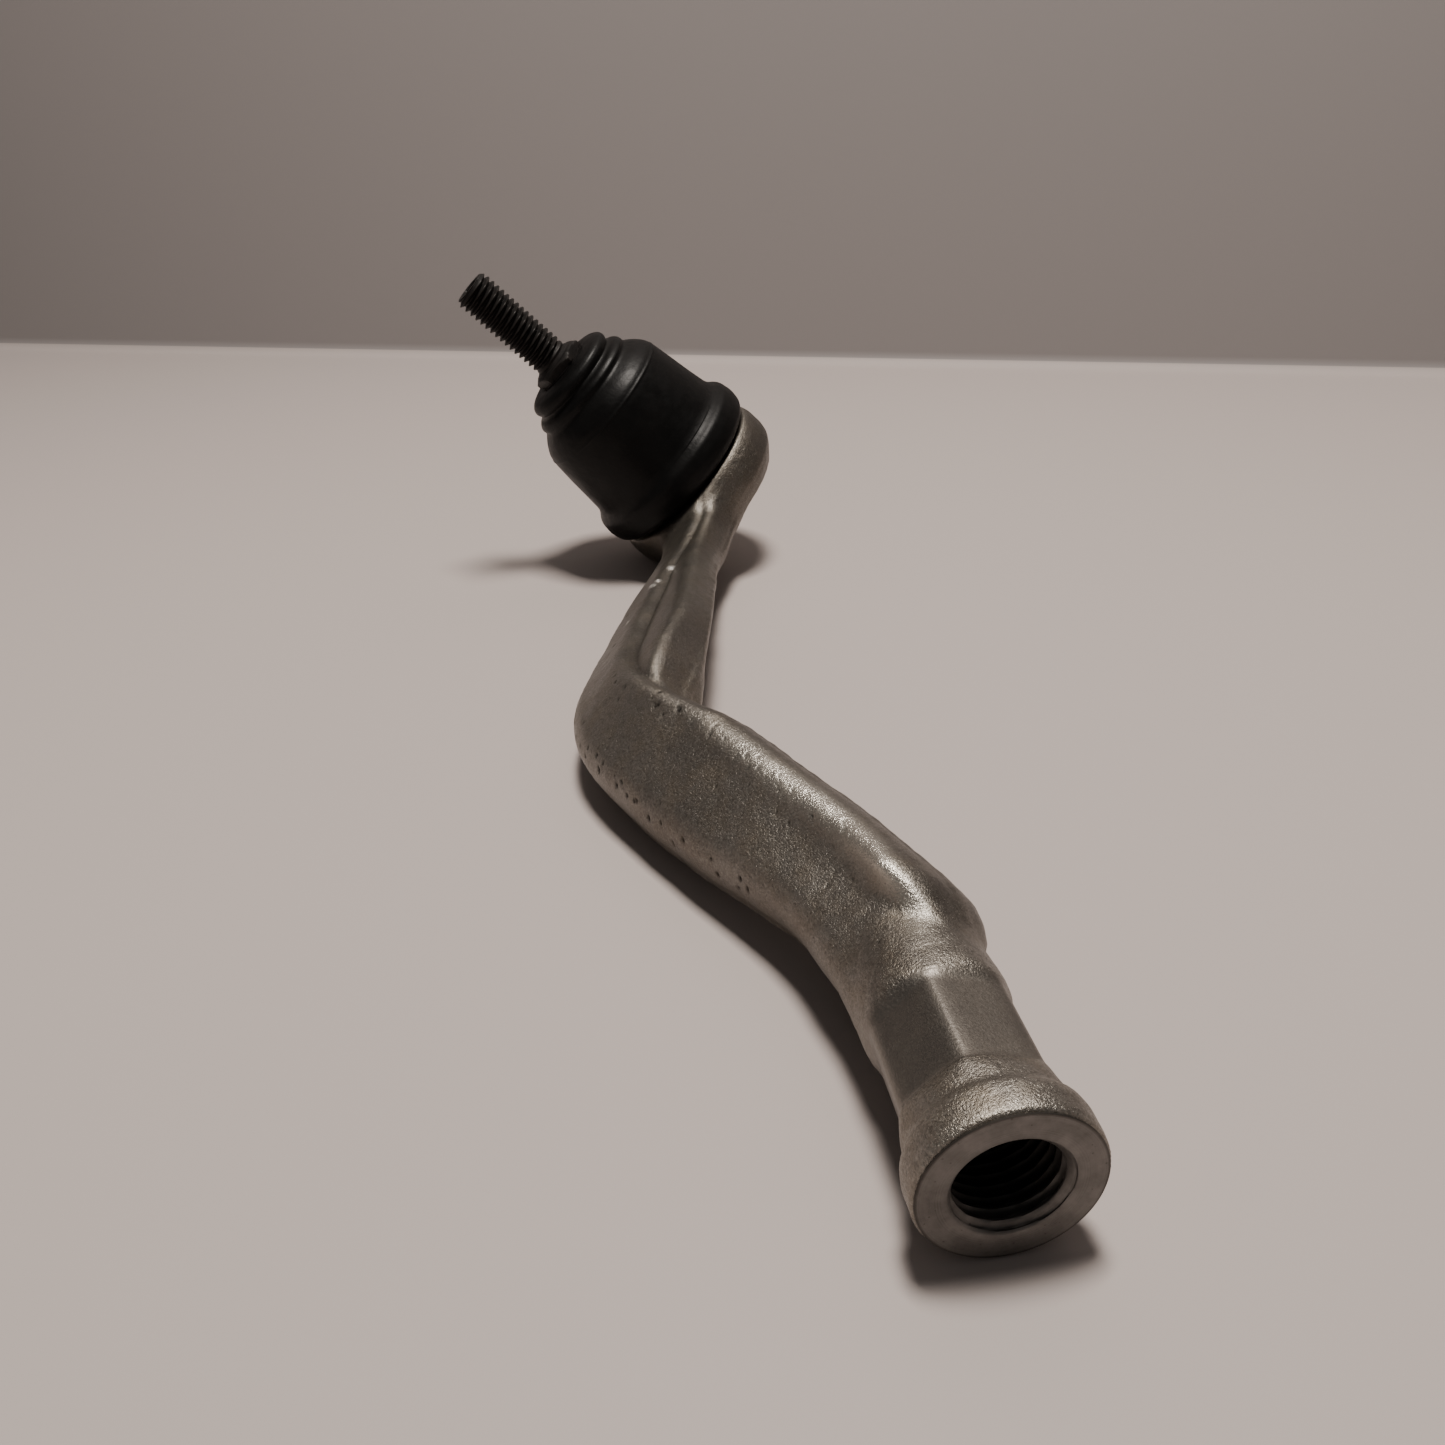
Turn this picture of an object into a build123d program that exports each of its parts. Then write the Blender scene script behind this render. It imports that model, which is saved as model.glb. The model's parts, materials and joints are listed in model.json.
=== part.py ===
from build123d import *
import math
import os

# Tie rod end, millimetres. Design frame: ball centre at the origin, +X out of the
# threaded mouth, +Z out along the stud at rest. The last section lays it down at rest.

# --- Threads ---------------------------------------------------------------
ROD_THREAD_MINOR_R = 6.19       # M14 x 1.5 female, plain wall at its minor radius
ROD_THREAD_DEPTH = 40.0
ROD_DRILL_TIP = 3.5
MOUTH_CHAMFER_R = 7.0
STUD_THREAD_R = 5.0             # M10 x 1.5 male, plain wall at its major radius
STUD_TIP_CHAMFER = 0.9

# --- Socket, along +X from the ball centre ---------------------------------
AXIS_DROP = 6.0                 # thread axis below the ball centre
MOUTH_X = 233.3
FACE_R = 10.7
COLLAR_R = 11.0
COLLAR_X = 229.0
GROOVE_X = 227.0
NECK_R = 9.5
NECK_START_X = 205.0
BULGE_R = 10.1
BULGE_X = 198.5
SOCKET_START_X = 190.0
SOCKET_START_R = 8.0
HEX_ACROSS_FLATS = 17.0
HEX_START_X = 210.5
HEX_END_X = 222.8

# --- Arm: x, y offset, z offset from the thread axis, width, thickness -----
ARM_STATIONS = [
    (12.0, -2.0, -2.0, 26.0, 12.5),
    (30.0, -7.4, -2.0, 21.6, 13.0),
    (50.0, -13.4, 3.4, 21.4, 11.8),
    (74.0, -17.4, 9.6, 23.6, 11.8),
    (98.0, -19.6, 14.8, 26.6, 13.6),
    (120.0, -20.6, 17.4, 26.6, 16.2),
    (146.0, -15.2, 12.8, 25.2, 14.6),
    (166.0, -8.2, 7.2, 23.4, 14.2),
    (184.0, -2.0, 1.8, 20.6, 16.8),
    (198.0, 0.0, 0.0, 19.6, 19.6),
]
ARM_CORNER = 5.6

# --- Cup -------------------------------------------------------------------
CUP_R = 23.4
CUP_BOTTOM_Z = -14.5
CUP_LOW_EDGE_R = 17.6
CUP_SIDE_LOW_Z = -8.0
CUP_SHOULDER_Z = -0.8
CUP_SHOULDER_R = 22.4
CUP_NECK_R = 19.5
CUP_TOP_Z = 7.5
CUP_BORE_R = 14.2
CUP_SEAT_Z = 5.2
THROAT_R = 10.6
THROAT_MOUTH_R = 11.8
CAP_R = 15.8
CAP_THICKNESS = 2.0
ROLL_LIP = 0.8
ROLL_LIP_INNER_R = 14.6

# --- Ball, shell and spring ------------------------------------------------
BALL_R = 11.0
BALL_CLEARANCE = 0.03
SHELL_BOTTOM_Z = -9.7
SPRING_INNER_R = 9.6
SPRING_OUTER_R = 13.6
STUD_NECK_R = 6.4
BOOT_SEAT_R = 7.0
BOOT_SEAT_Z = 31.0
HEX_NUT_AF = 13.0
HEX_Z = 40.7
HEX_TOP_Z = 43.2
HEX_CHAMFER = 1.5
STUD_TIP_Z = 69.2
TIP_SOCKET_AF = 5.0
TIP_SOCKET_DEPTH = 5.5

# --- Dust boot -------------------------------------------------------------
BOOT_GAP = 0.05
BOOT_BEAD_R = 24.4
BOOT_BEAD_Z = 3.9
BOOT_BEAD_LOW_Z = -0.5
BOOT_BEAD_HIGH_Z = 9.4
BOOT_CONE_R = 21.5
BOOT_SHOULDER_R = 19.3
BOOT_SHOULDER_Z = 27.4
BOOT_CROWN_R = 15.2
BOOT_CROWN_Z = 33.4
BOOT_RING_R = 14.4
BOOT_RING_Z = 35.2
BOOT_GROOVE_R = 12.7
BOOT_GROOVE_Z = 36.6
BOOT_LIP_R = 12.9
BOOT_LIP_Z = 38.7
BOOT_FRONT_Z = 40.6
BOOT_FRONT_R = 7.7
BOOT_WALL = 2.2
BASE_RING_INNER_R = 20.6
BASE_RING_OUTER_R = 22.2
BASE_RING_LOW_Z = 1.4
BASE_RING_HIGH_Z = 6.0
NOSE_RING_INNER_R = 8.0
NOSE_RING_OUTER_R = 10.6
NOSE_RING_LOW_Z = 35.4
NOSE_RING_HIGH_Z = 37.2
NOSE_RING_GAP = 0.05

# --- Rest: how the part lies on a bench ------------------------------------
REST_PITCH_DEG = 2.13           # thread axis dips towards the mouth
REST_ROLL_DEG = 45.18           # stud leans over from upright, towards -X


def turned(points):
    """A solid of revolution about +Z from (radius, z) corners of its half section."""
    outline = make_face(Polyline(*[(r, 0, z) for r, z in points], close=True))
    return revolve(outline, Axis.Z)


def turned_x(points, axis_z):
    """A solid of revolution about the thread axis from (x, radius) corners."""
    outline = make_face(Polyline(*[(x, 0, r) for x, r in points], close=True))
    return Pos(0, 0, axis_z) * revolve(outline, Axis.X)


def arm():
    """The cranked strap arm, a loft through rounded rectangles across +X."""
    sections = []
    for x, y, z, width, thickness in ARM_STATIONS:
        corner = min(ARM_CORNER, 0.46 * thickness)
        plane = Plane(origin=(x, y, z - AXIS_DROP), x_dir=(0, 1, 0), z_dir=(1, 0, 0))
        sections.append(plane * RectangleRounded(width, thickness, corner))
    return loft(sections)


def socket():
    """The threaded socket's outside: bulge, neck with six wrench flats, flared collar."""
    outside = turned_x(
        [
            (SOCKET_START_X, 0),
            (SOCKET_START_X, SOCKET_START_R),
            (BULGE_X - 4.5, BULGE_R - 0.4),
            (BULGE_X, BULGE_R),
            (BULGE_X + 2.5, BULGE_R - 0.2),
            (NECK_START_X, NECK_R),
            (HEX_END_X, NECK_R),
            (GROOVE_X, NECK_R + 0.6),
            (COLLAR_X, COLLAR_R),
            (MOUTH_X - 0.6, COLLAR_R),
            (MOUTH_X, FACE_R),
            (MOUTH_X, 0),
        ],
        -AXIS_DROP,
    )
    length = HEX_END_X - HEX_START_X
    plane = Plane(origin=(HEX_START_X, 0, -AXIS_DROP), x_dir=(0, 1, 0), z_dir=(1, 0, 0))
    hexagon = RegularPolygon(HEX_ACROSS_FLATS / 2, 6, major_radius=False, rotation=30)
    ring = plane * (Circle(2 * NECK_R) - hexagon)
    return outside - extrude(ring, length)


def socket_bore():
    """The tapped hole: plain thread wall, chamfered mouth, drill point."""
    chamfer = MOUTH_CHAMFER_R - ROD_THREAD_MINOR_R
    blind_x = MOUTH_X - ROD_THREAD_DEPTH
    return turned_x(
        [
            (blind_x - ROD_DRILL_TIP, 0),
            (blind_x, ROD_THREAD_MINOR_R),
            (MOUTH_X - chamfer, ROD_THREAD_MINOR_R),
            (MOUTH_X, MOUTH_CHAMFER_R),
            (MOUTH_X + 1, MOUTH_CHAMFER_R),
            (MOUTH_X + 1, 0),
        ],
        -AXIS_DROP,
    )


def cup():
    """The ball cup's outside, rounded below and necked above for the boot."""
    return turned(
        [
            (0, CUP_BOTTOM_Z),
            (CUP_LOW_EDGE_R, CUP_BOTTOM_Z),
            (CUP_LOW_EDGE_R + 3.0, CUP_BOTTOM_Z + 1.6),
            (CUP_R - 0.9, CUP_SIDE_LOW_Z - 3.2),
            (CUP_R, CUP_SIDE_LOW_Z),
            (CUP_R, CUP_SHOULDER_Z - 3.0),
            (CUP_SHOULDER_R, CUP_SHOULDER_Z),
            (CUP_NECK_R, CUP_SHOULDER_Z),
            (CUP_NECK_R, CUP_TOP_Z),
            (0, CUP_TOP_Z),
        ]
    )


def cup_cavity():
    """The bore for the shell, the throat for the stud and the seat of the end cap."""
    cap_top = CUP_BOTTOM_Z + ROLL_LIP + CAP_THICKNESS
    return turned(
        [
            (0, CUP_BOTTOM_Z - 1),
            (ROLL_LIP_INNER_R, CUP_BOTTOM_Z - 1),
            (ROLL_LIP_INNER_R, CUP_BOTTOM_Z + ROLL_LIP),
            (CAP_R, CUP_BOTTOM_Z + ROLL_LIP),
            (CAP_R, cap_top),
            (CUP_BORE_R, cap_top),
            (CUP_BORE_R, CUP_SEAT_Z),
            (THROAT_R, CUP_SEAT_Z),
            (THROAT_MOUTH_R, CUP_TOP_Z + 0.01),
            (THROAT_MOUTH_R, CUP_TOP_Z + 1),
            (0, CUP_TOP_Z + 1),
        ]
    )


def boot_room():
    """The ring round the cup's neck that the boot's bead fills, kept clear of the arm."""
    return turned(
        [
            (CUP_NECK_R, CUP_SHOULDER_Z),
            (BOOT_BEAD_R + 2.5, CUP_SHOULDER_Z),
            (BOOT_BEAD_R + 2.5, BOOT_BEAD_HIGH_Z + 8),
            (CUP_NECK_R, BOOT_BEAD_HIGH_Z + 8),
        ]
    )


def forged_body():
    body = cup() + arm() + socket()
    body = body - boot_room()
    return body - cup_cavity() - socket_bore()


def end_cap():
    """The closing plate, its middle dished in, held by the rolled lip."""
    low = CUP_BOTTOM_Z + ROLL_LIP
    high = low + CAP_THICKNESS
    dish = 0.5
    return turned(
        [
            (0, low + dish),
            (8.0, low + dish),
            (10.0, low),
            (CAP_R, low),
            (CAP_R, high),
            (0, high),
        ]
    )


def preload_spring():
    """The conical spring washer between the end cap and the shell."""
    low = CUP_BOTTOM_Z + ROLL_LIP + CAP_THICKNESS
    high = SHELL_BOTTOM_Z
    plate = 1.1
    return turned(
        [
            (SPRING_OUTER_R - 1.2, low),
            (SPRING_OUTER_R, low),
            (SPRING_OUTER_R, low + plate),
            (SPRING_INNER_R + 1.2, high),
            (SPRING_INNER_R, high),
            (SPRING_INNER_R, high - plate),
        ]
    )


def bearing_shell():
    """The plastic shell that holds the ball above and below its equator."""
    blank = turned(
        [
            (0, SHELL_BOTTOM_Z),
            (CUP_BORE_R - 1.0, SHELL_BOTTOM_Z),
            (CUP_BORE_R, SHELL_BOTTOM_Z + 1.0),
            (CUP_BORE_R, CUP_SEAT_Z),
            (0, CUP_SEAT_Z),
        ]
    )
    shell = blank - Sphere(BALL_R + BALL_CLEARANCE)
    slot_width = 1.4
    slot_depth = 6.5
    slot_centre_r = 13.4
    for index in range(6):
        slot = Box(8.0, slot_width, slot_depth)
        slot = Pos(slot_centre_r, 0, SHELL_BOTTOM_Z + slot_depth / 2) * slot
        shell = shell - Rot(0, 0, 60 * index) * slot
    return shell


def ball_stud():
    """Ball, neck, boot seat, hex and plain-walled thread, with a hex socket in the tip."""
    join_z = math.sqrt(BALL_R**2 - STUD_NECK_R**2) - 0.6
    shank = turned(
        [
            (0, join_z - 4),
            (STUD_NECK_R, join_z - 4),
            (STUD_NECK_R, BOOT_SEAT_Z - 0.6),
            (BOOT_SEAT_R, BOOT_SEAT_Z),
            (BOOT_SEAT_R, HEX_Z),
            (STUD_THREAD_R, HEX_Z),
            (STUD_THREAD_R, STUD_TIP_Z - STUD_TIP_CHAMFER),
            (STUD_THREAD_R - STUD_TIP_CHAMFER, STUD_TIP_Z),
            (0, STUD_TIP_Z),
        ]
    )
    height = HEX_TOP_Z - HEX_Z
    hex_face = RegularPolygon(HEX_NUT_AF / 2, 6, major_radius=False)
    hexagon = extrude(Pos(0, 0, HEX_Z) * hex_face, height)
    corner_r = HEX_NUT_AF / 2 / math.cos(math.radians(30))
    envelope = turned(
        [
            (0, HEX_Z),
            (corner_r, HEX_Z),
            (corner_r, HEX_TOP_Z - HEX_CHAMFER),
            (corner_r - HEX_CHAMFER, HEX_TOP_Z),
            (0, HEX_TOP_Z),
        ]
    )
    socket_face = RegularPolygon(TIP_SOCKET_AF / 2, 6, major_radius=False)
    recess = extrude(Pos(0, 0, STUD_TIP_Z - TIP_SOCKET_DEPTH) * socket_face, TIP_SOCKET_DEPTH + 1)
    return Sphere(BALL_R) + shank + (hexagon & envelope) - recess


def dust_boot():
    """The rubber bellows: thick base bead, tapered skirt, rounded crown and nose lip."""
    bore = CUP_NECK_R + BOOT_GAP
    nose_bore = BOOT_SEAT_R + BOOT_GAP
    roof_z = CUP_TOP_Z + 0.3
    return turned(
        [
            (bore, BOOT_BEAD_LOW_Z),
            (BOOT_BEAD_R - 2.6, BOOT_BEAD_LOW_Z),
            (BOOT_BEAD_R - 0.7, BOOT_BEAD_LOW_Z + 1.6),
            (BOOT_BEAD_R, BOOT_BEAD_Z),
            (BOOT_BEAD_R - 0.7, BOOT_BEAD_HIGH_Z - 2.0),
            (BOOT_CONE_R + 0.3, BOOT_BEAD_HIGH_Z),
            (BOOT_SHOULDER_R, BOOT_SHOULDER_Z),
            (BOOT_SHOULDER_R - 1.2, BOOT_SHOULDER_Z + 2.6),
            (BOOT_CROWN_R, BOOT_CROWN_Z),
            (BOOT_RING_R, BOOT_RING_Z),
            (BOOT_GROOVE_R, BOOT_GROOVE_Z),
            (BOOT_LIP_R, BOOT_GROOVE_Z + 0.6),
            (BOOT_LIP_R, BOOT_LIP_Z),
            (BOOT_FRONT_R, BOOT_FRONT_Z),
            (nose_bore, BOOT_FRONT_Z),
            (nose_bore, BOOT_SEAT_Z + 1.5),
            (12.0, BOOT_SEAT_Z),
            (BOOT_SHOULDER_R - BOOT_WALL - 1.4, BOOT_SHOULDER_Z + 1.0),
            (BOOT_SHOULDER_R - BOOT_WALL, BOOT_SHOULDER_Z - 1.8),
            (BOOT_CONE_R - BOOT_WALL, BOOT_BEAD_HIGH_Z + 1.6),
            (BOOT_CONE_R - BOOT_WALL, roof_z),
            (bore, roof_z),
        ]
    ) - boot_base_ring() - boot_nose_ring(NOSE_RING_GAP)


def flat_ring(inner_r, outer_r, low_z, high_z):
    return turned([(inner_r, low_z), (outer_r, low_z), (outer_r, high_z), (inner_r, high_z)])


def boot_base_ring():
    """The steel band moulded into the boot's bead, which grips the cup's neck."""
    return flat_ring(BASE_RING_INNER_R, BASE_RING_OUTER_R, BASE_RING_LOW_Z, BASE_RING_HIGH_Z)


def boot_nose_ring(grow=0.0):
    """The steel washer in the boot's nose, which stays square to the stud."""
    return flat_ring(
        NOSE_RING_INNER_R - grow,
        NOSE_RING_OUTER_R + grow,
        NOSE_RING_LOW_Z - grow,
        NOSE_RING_HIGH_Z + grow,
    )


def laid_down(shape):
    """From the design frame to the rest frame: mouth towards -Y, dipped and rolled."""
    rolled = Rot(REST_ROLL_DEG, 0, 0) * shape
    dipped = Rot(0, REST_PITCH_DEG, 0) * rolled
    return Rot(0, 0, -90) * dipped


pieces = {
    "forged_body": forged_body(),
    "ball_stud": ball_stud(),
    "bearing_shell": bearing_shell(),
    "preload_spring": preload_spring(),
    "end_cap": end_cap(),
    "dust_boot": dust_boot(),
    "boot_base_ring": boot_base_ring(),
    "boot_nose_ring": boot_nose_ring(),
}
placed = {name: laid_down(shape) for name, shape in pieces.items()}

# The origin is the middle of the whole part's box, at the bench.
boxes = [shape.bounding_box() for shape in placed.values()]
low = [min(getattr(box.min, axis) for box in boxes) for axis in "XYZ"]
high = [max(getattr(box.max, axis) for box in boxes) for axis in "XYZ"]
shift = Pos(-(low[0] + high[0]) / 2, -(low[1] + high[1]) / 2, -low[2])

os.makedirs("parts", exist_ok=True)
for name, shape in placed.items():
    resting = shift * shape
    export_step(resting, f"parts/{name}.step")
    print(name, type(resting).__name__, len(resting.solids()), resting.is_valid)
print("ball centre", (shift * Vertex(0, 0, 0)).center())
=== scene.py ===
import json
import math

import bmesh
import bpy
import numpy as np
import openvdb
from mathutils import Matrix, Vector, noise


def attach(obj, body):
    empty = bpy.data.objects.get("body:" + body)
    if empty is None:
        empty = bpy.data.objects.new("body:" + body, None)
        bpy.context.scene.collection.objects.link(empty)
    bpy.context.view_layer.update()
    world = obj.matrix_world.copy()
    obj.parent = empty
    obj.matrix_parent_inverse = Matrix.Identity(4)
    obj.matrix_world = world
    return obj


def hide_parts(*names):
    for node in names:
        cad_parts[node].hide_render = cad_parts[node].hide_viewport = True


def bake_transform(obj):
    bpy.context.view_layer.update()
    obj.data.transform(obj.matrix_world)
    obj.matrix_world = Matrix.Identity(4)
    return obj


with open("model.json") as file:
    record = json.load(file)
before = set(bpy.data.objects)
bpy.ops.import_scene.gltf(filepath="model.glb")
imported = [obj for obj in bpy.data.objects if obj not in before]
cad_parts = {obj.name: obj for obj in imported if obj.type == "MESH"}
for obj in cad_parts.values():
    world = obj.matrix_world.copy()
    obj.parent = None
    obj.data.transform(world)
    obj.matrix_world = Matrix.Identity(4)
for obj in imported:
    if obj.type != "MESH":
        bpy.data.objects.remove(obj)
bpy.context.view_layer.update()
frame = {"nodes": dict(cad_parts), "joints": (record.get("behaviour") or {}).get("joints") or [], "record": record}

# Tie rod end. Every piece is shaped in millimetres in the design frame: the ball's centre is
# the origin, +X runs out of the threaded mouth and +Z out along the stud. TO_ROW lays it down.

MM = 0.001
mounts = {m["name"]: m for m in frame["record"]["mounts"]}
joints = {j["name"]: j for j in frame["joints"]}
AXIS_X = Vector(mounts["rod_thread"]["axis"]).normalized()
AXIS_Z = Vector(mounts["stud_thread"]["axis"]).normalized()
AXIS_Y = AXIS_Z.cross(AXIS_X)
BALL = Vector(joints["boot_turn"]["pos_m"])
TO_ROW = Matrix.Translation(BALL) @ Matrix((AXIS_X, AXIS_Y, AXIS_Z)).transposed().to_4x4()
TO_ROW = TO_ROW @ Matrix.Scale(MM, 4)


def from_ball(mount, axis):
    """How far a mount lies from the ball's centre along an axis, in mm."""
    return (Vector(mounts[mount]["pos_m"]) - BALL).dot(axis) / MM


def to_row(point):
    """A design-frame point's place in the row frame, in metres."""
    return TO_ROW @ Vector(point)


# --- Driving dimensions ------------------------------------------------------
MOUTH_X = from_ball("lock_nut_face", AXIS_X)
THREAD_Z = from_ball("rod_thread", AXIS_Z)
STUD_SEAT_Z = from_ball("stud_seat", AXIS_Z)
ROD_MINOR_R = mounts["rod_thread"]["dims"]["r_mm"]
ROD_PITCH = 1.5
ROD_MAJOR_R = 7.0
STUD_MAJOR_R = mounts["stud_thread"]["dims"]["r_mm"]
STUD_PITCH = 1.5
STUD_TIP_CHAMFER = 0.9
STUD_TIP_Z = STUD_SEAT_Z + mounts["stud_thread"]["dims"]["length_mm"] + STUD_TIP_CHAMFER

VOXEL = 0.45
CUP_TOP_Z = 7.5
CUP_BOTTOM_Z = -14.5
CUP_NECK_R = 19.5
CUP_SHOULDER_Z = -0.8
CAVITY_R = 14.2
THROAT_R = 10.9
LIP_R = 14.7
CAP_R = 15.7
FLATS_X = (210.5, 222.8)
FLATS_ACROSS = 17.0
FACE_R = 10.62
FILLET = 5.0
BOOT_NOSE_R = 7.06

# Arm sections: x, y, z from the thread axis, width, thickness
ARM = [
    (12.0, -2.0, -2.0, 26.0, 12.5),
    (30.0, -7.4, -2.0, 21.6, 13.0),
    (50.0, -13.4, 3.4, 21.4, 11.8),
    (74.0, -17.4, 9.6, 23.6, 11.8),
    (98.0, -19.6, 14.8, 26.6, 13.6),
    (120.0, -20.6, 17.4, 26.6, 16.2),
    (146.0, -15.2, 12.8, 25.2, 14.6),
    (166.0, -8.2, 7.2, 23.4, 14.2),
    (184.0, -2.0, 1.8, 20.6, 16.8),
    (198.0, 0.0, 0.0, 19.6, 19.6),
]
ARM_CORNER = 5.4

# Shelf along the upper arm's right side: x, where its wall stands from the middle, depth
SHELF = [
    (18.0, 6.4, 0.5),
    (41.0, 4.4, 1.3),
    (68.0, 3.7, 2.4),
    (88.0, 2.2, 2.7),
    (105.0, 2.6, 2.8),
    (117.0, 4.2, 2.8),
    (124.0, 6.4, 2.8),
    (143.0, 12.4, 2.6),
    (150.0, 14.5, 2.2),
]

# Radius of the arm's right corners: x, radius
RIGHT_CORNER = [(20, 4.6), (60, 4.4), (108, 3.8), (124, 2.4), (134, 3.6), (146, 5.2), (190, 6.6)]

# Rib along the top of the lower arm: x, height; x, distance right of the arm's middle
RIB_HEIGHT = [(140, 0.0), (160, 0.6), (180, 1.1), (191, 2.5), (202, 0.0)]
RIB_CENTRE = [(130, 10.4), (160, 9.0), (190, 7.7)]
RIB_REACH = [(165, 3.0), (190, 4.0)]

# Hollow beside the rib that runs out into the socket: x, depth
HOLLOW_DEPTH = [(168, 0.0), (182, 0.9), (191, 2.4), (201, 2.4), (208, 0.6)]
HOLLOW_CENTRE = 3.4

# Where the arm starts to sink into the socket, and over what length: across, x; across, length
SINK_START = [(-8.0, 188.0), (-2.0, 186.0), (2.0, 185.0), (8.0, 192.0)]
SINK_LENGTH = [(-8.0, 20.0), (-2.0, 15.0), (2.0, 12.0), (8.0, 9.0)]

# How much further out the right side stands than half the width: x, at the top, at the bottom
RIGHT_SIDE = [
    (10.0, -2.0, -3.5),
    (24.0, -2.2, -4.0),
    (38.0, -1.8, -3.8),
    (54.0, -0.4, 0.9),
    (68.0, 0.5, 3.0),
    (85.0, 0.6, 2.2),
    (96.0, 0.3, 1.1),
    (107.0, -1.0, -0.6),
    (115.0, -2.5, -2.3),
    (122.0, -5.0, -5.0),
    (127.0, -5.4, -5.6),
    (134.0, -3.2, -3.2),
    (143.0, -0.6, -0.5),
    (150.0, -0.4, -0.4),
    (178.0, -0.4, -0.4),
    (192.0, 0.0, 0.0),
]


def read_table(table, at):
    """A two-column table read between its rows."""
    return np.interp(at, *zip(*table))


# --- Meshes --------------------------------------------------------------------
def piece_from(name, points, faces, material, sharp_deg, merge=True):
    """A mesh piece from design-frame points, with those points kept as an attribute."""
    points = np.asarray(points, float)
    mesh = bpy.data.meshes.new(name)
    turned = points @ np.array(TO_ROW.to_3x3()).T + np.array(TO_ROW.translation)
    mesh.from_pydata(turned.tolist(), [], [tuple(f) for f in faces])
    place = mesh.attributes.new("design_mm", "FLOAT_VECTOR", "POINT")
    place.data.foreach_set("vector", points.astype(np.float32).ravel())
    piece = bpy.data.objects.new(name, mesh)
    bpy.context.scene.collection.objects.link(piece)
    if merge:
        tidy_mesh(mesh)
    mesh.shade_smooth()
    if sharp_deg:
        mesh.set_sharp_from_angle(angle=math.radians(sharp_deg))
    mesh.materials.append(material)
    return piece


def add_mark(piece, name, values):
    """Keeps one number per point, which a material reads as a mask."""
    layer = piece.data.attributes.new(name, "FLOAT", "POINT")
    layer.data.foreach_set("value", np.asarray(values, np.float32))


def design_points(piece):
    """A piece's points in the design frame, in mm."""
    place = np.empty(len(piece.data.vertices) * 3, np.float32)
    piece.data.attributes["design_mm"].data.foreach_get("vector", place)
    return place.reshape(-1, 3)


def tidy_mesh(mesh):
    """Merges the points at a pole and turns every face outwards."""
    work = bmesh.new()
    work.from_mesh(mesh)
    bmesh.ops.remove_doubles(work, verts=work.verts, dist=2e-6)
    bmesh.ops.recalc_face_normals(work, faces=work.faces)
    work.to_mesh(mesh)
    work.free()


def lathe(radii, heights, closed=False):
    """Points and faces of a turned skin. radii has one row per height and one column per angle."""
    radii = np.asarray(radii, float)
    rows, turns = radii.shape
    heights = np.broadcast_to(np.asarray(heights, float).reshape(rows, -1), radii.shape)
    angle = np.linspace(0, 2 * math.pi, turns, endpoint=False)
    points = np.stack([radii * np.cos(angle), radii * np.sin(angle), heights], -1)
    faces = []
    for row in range(rows if closed else rows - 1):
        here, there = row * turns, (row + 1) % rows * turns
        for turn in range(turns):
            after = (turn + 1) % turns
            faces.append((here + turn, here + after, there + after, there + turn))
    return points.reshape(-1, 3), faces


def about_thread_axis(points):
    """Turns lathe points from about +Z to about the female thread's axis."""
    r_y, r_z, along = points.T
    return np.stack([along, r_y, r_z + THREAD_Z], -1)


def smooth_profile(corners, spacing):
    """A polyline of (radius, height) corners, cut into short even steps."""
    corners = np.asarray(corners, float)
    steps = np.linalg.norm(np.diff(corners, axis=0), axis=1)
    run = np.concatenate([[0], np.cumsum(steps)])
    count = max(int(run[-1] / spacing), 2)
    at = np.unique(np.concatenate([np.linspace(0, run[-1], count), run]))
    return np.stack([np.interp(at, run, corners[:, 0]), np.interp(at, run, corners[:, 1])], -1)


def rounded_profile(corners, radius, spacing=0.35):
    """An open polyline of (radius, height) corners with its inner corners rounded."""
    corners = np.asarray(corners, float)
    radius = np.broadcast_to(radius, len(corners))
    points = [corners[0]]
    for before, corner, after, size in zip(corners, corners[1:], corners[2:], radius[1:]):
        back, ahead = before - corner, after - corner
        cut = min(size, 0.45 * np.linalg.norm(back), 0.45 * np.linalg.norm(ahead))
        start = corner + back / np.linalg.norm(back) * cut
        end = corner + ahead / np.linalg.norm(ahead) * cut
        for step in np.linspace(0, 1, 7):
            points.append((1 - step) ** 2 * start + 2 * step * (1 - step) * corner + step**2 * end)
    points.append(corners[-1])
    return smooth_profile(points, spacing)


def helix(angle, height, pitch, major_r, internal=False):
    """Radius of a 60 degree thread at each angle and height."""
    sharp = pitch * math.sqrt(3) / 2
    phase = np.mod(height / pitch - angle / (2 * math.pi), 1)
    ridge = 1 - np.abs(2 * phase - 1)
    if internal:
        return major_r - np.clip(ridge * sharp - sharp / 8, 0, sharp * 5 / 8)
    depth = sharp * 17 / 24
    return major_r - depth + np.clip(ridge * sharp - sharp / 6, 0, depth)


def hexagon_radius(angle, across):
    """Distance from a hexagon's centre to its side at each angle."""
    sector = np.mod(angle + math.pi / 6, math.pi / 3) - math.pi / 6
    return across / 2 / np.cos(sector)


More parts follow.
